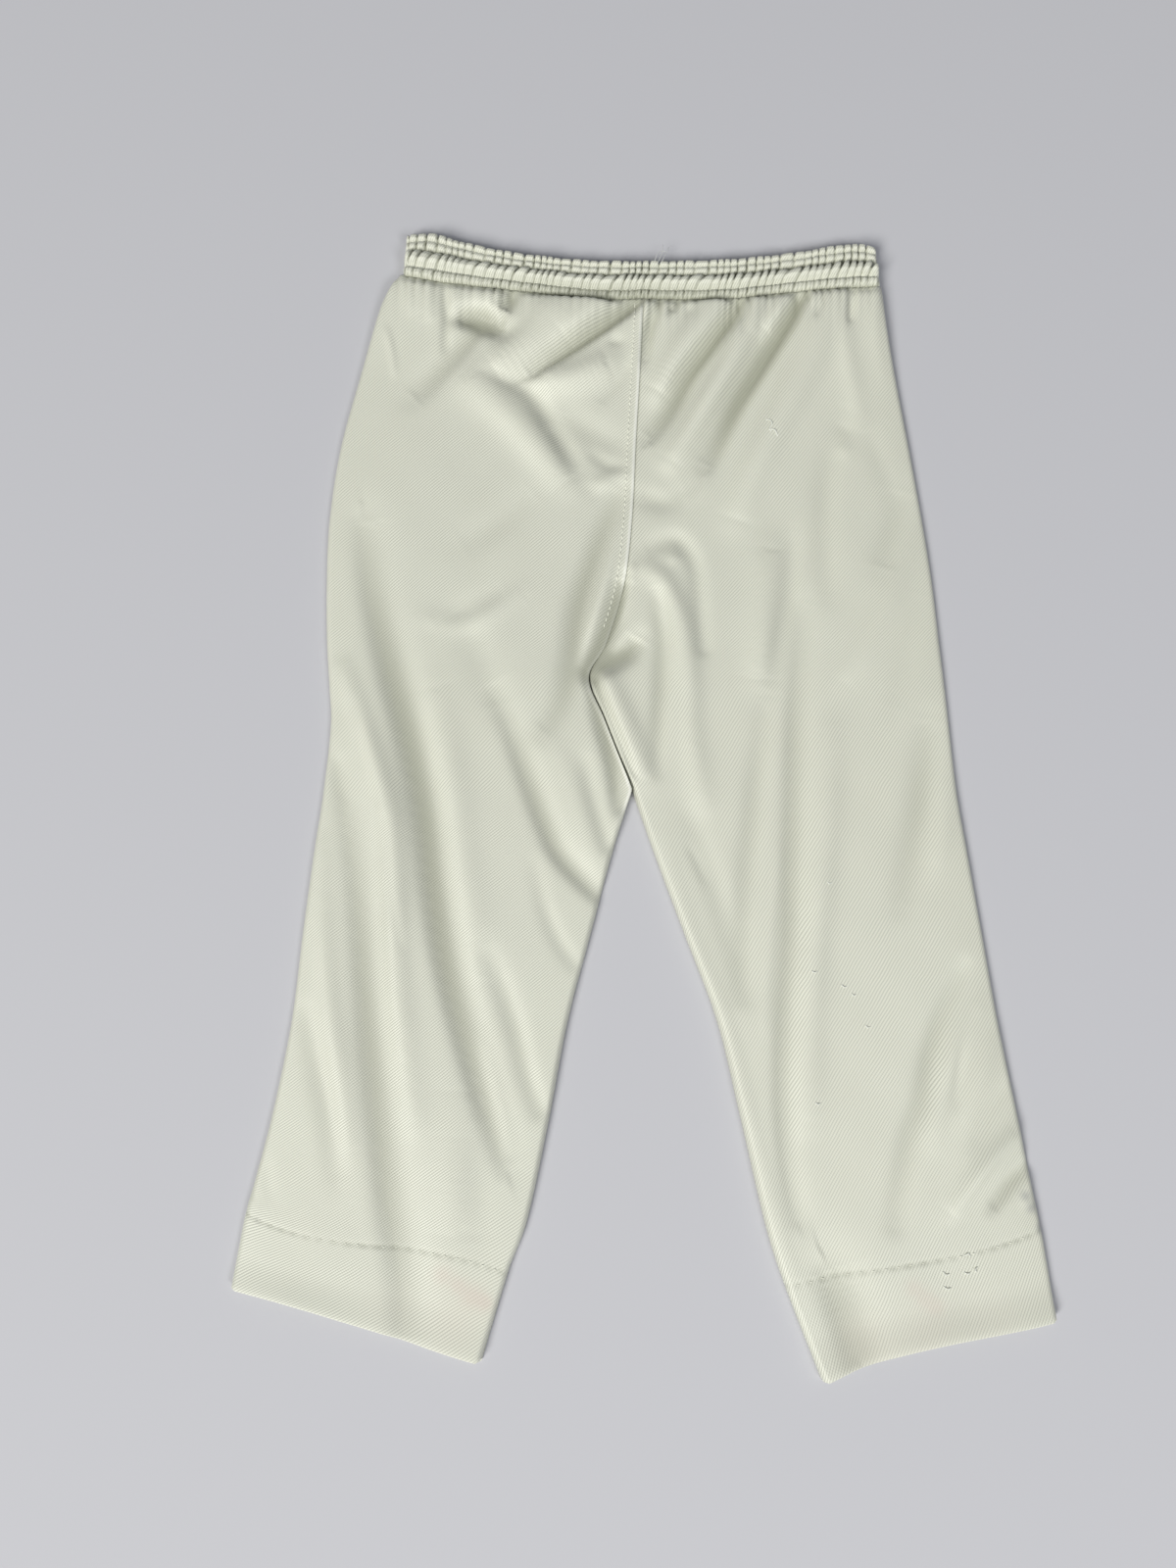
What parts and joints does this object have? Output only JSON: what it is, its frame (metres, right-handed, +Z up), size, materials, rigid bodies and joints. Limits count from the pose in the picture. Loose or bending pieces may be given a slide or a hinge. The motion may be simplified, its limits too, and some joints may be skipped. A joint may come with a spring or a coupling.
{
  "type": "cricket trousers",
  "caption": "Child's cream cricket trousers with a gathered elastic waist and turned-up hems, laid flat with the back upwards.",
  "frame": {"origin": "middle of the underside of the whole garment's box, on the surface it lies on", "axes": "+Z up from the surface, +Y from the hems towards the waist, +X towards the wearer's right side, because the back is upwards"},
  "size_m": [0.4194, 0.6046, 0.0125],
  "materials": {
    "twill_knit": "cream polyester knit with a fine diagonal twill rib and a soft sheen",
    "gathered_casing": "the same cream knit, gathered over elastic in four stitched channels",
    "sewing_thread": "cream polyester sewing thread"
  },
  "bodies": {
    "root": {"back_panel_left": "twill_knit", "back_panel_right": "twill_knit", "front_panel_left": "twill_knit", "front_panel_right": "twill_knit", "waistband_back_left": "gathered_casing", "waistband_back_right": "gathered_casing", "waistband_front_left": "gathered_casing", "waistband_front_right": "gathered_casing"}
  },
  "joints": []
}
